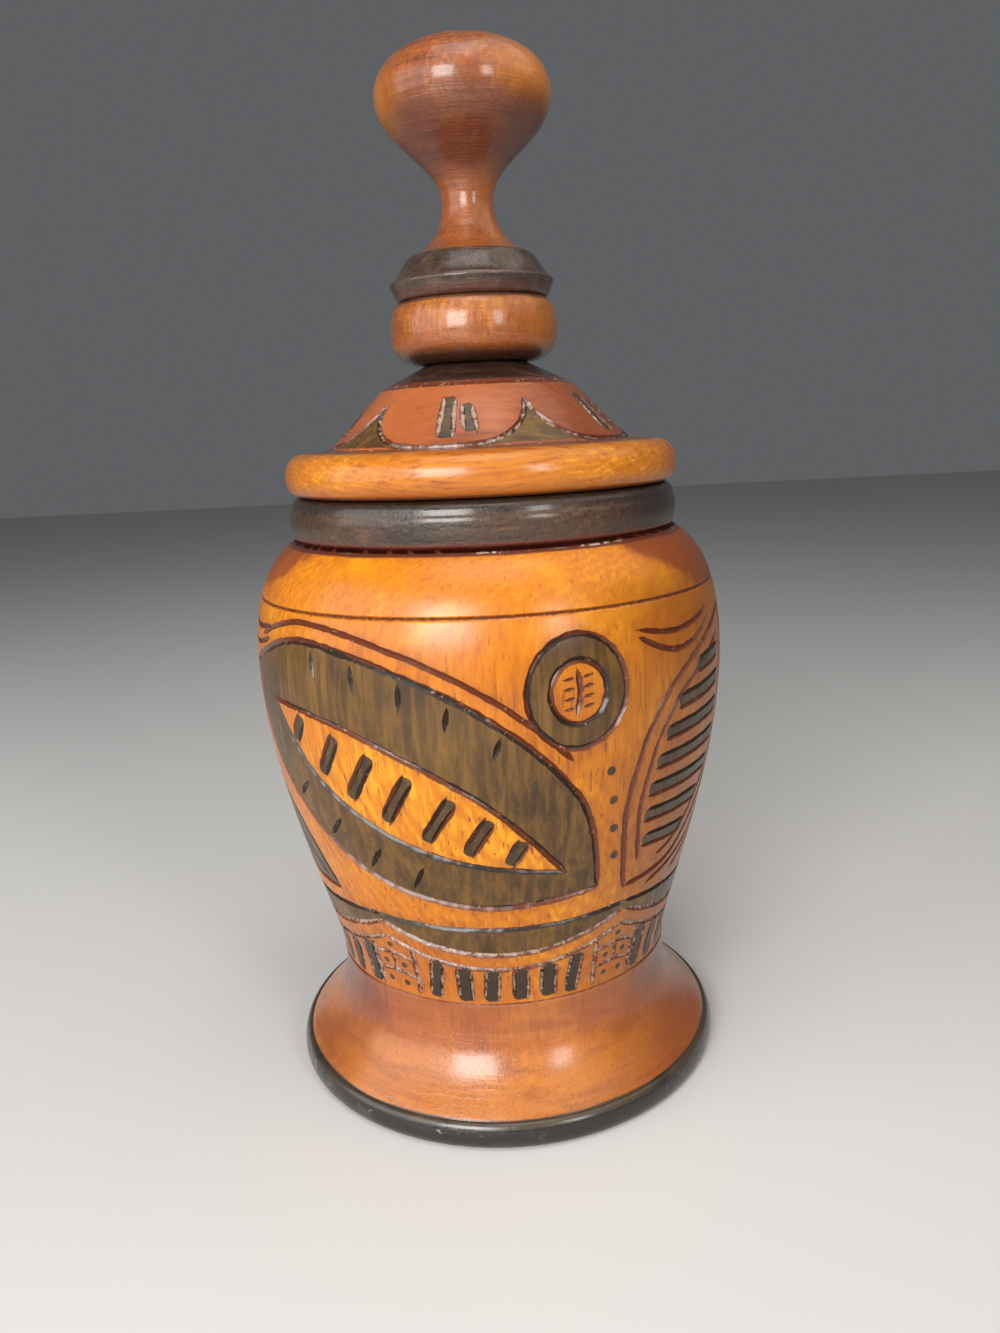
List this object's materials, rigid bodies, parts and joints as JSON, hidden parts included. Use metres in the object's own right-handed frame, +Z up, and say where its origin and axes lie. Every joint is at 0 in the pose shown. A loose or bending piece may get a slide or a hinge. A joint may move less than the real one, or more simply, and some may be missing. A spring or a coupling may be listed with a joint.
{
  "type": "lidded jar",
  "caption": "Tall turned wooden jar: hollow carved belly on a flared foot, dark ring round the mouth, and a domed lift-off lid with a ball finial.",
  "frame": {"origin": "centre of the flat underside of the foot", "axes": "+Z up along the turning axis, -Y towards the viewer of the picture"},
  "size_m": [0.2006, 0.2006, 0.4266],
  "materials": {
    "red_wood": "red-brown stain under satin lacquer",
    "amber_wood": "amber stain under gloss lacquer, carved and part stained olive-brown",
    "dark_wood": "near-black stain under gloss lacquer",
    "lid_wood": "amber rim and red-brown dome under gloss lacquer",
    "bead_wood": "orange-brown stain under gloss lacquer",
    "knob_wood": "red-brown stain under satin lacquer, collar stained dark",
    "pale_wood": "bare, sanded"
  },
  "bodies": {
    "jar": {"foot": "red_wood", "belly": "amber_wood", "neck_ring": "dark_wood"},
    "lid": {"lid": "lid_wood", "finial_bead": "bead_wood", "finial_knob": "knob_wood", "finial_dowel": "pale_wood"}
  },
  "joints": [
    {"name": "lid_lift", "type": "slide", "parent": "jar", "child": "lid", "axis": [0, 0, 1], "range_m": [0, 0.12]}
  ]
}
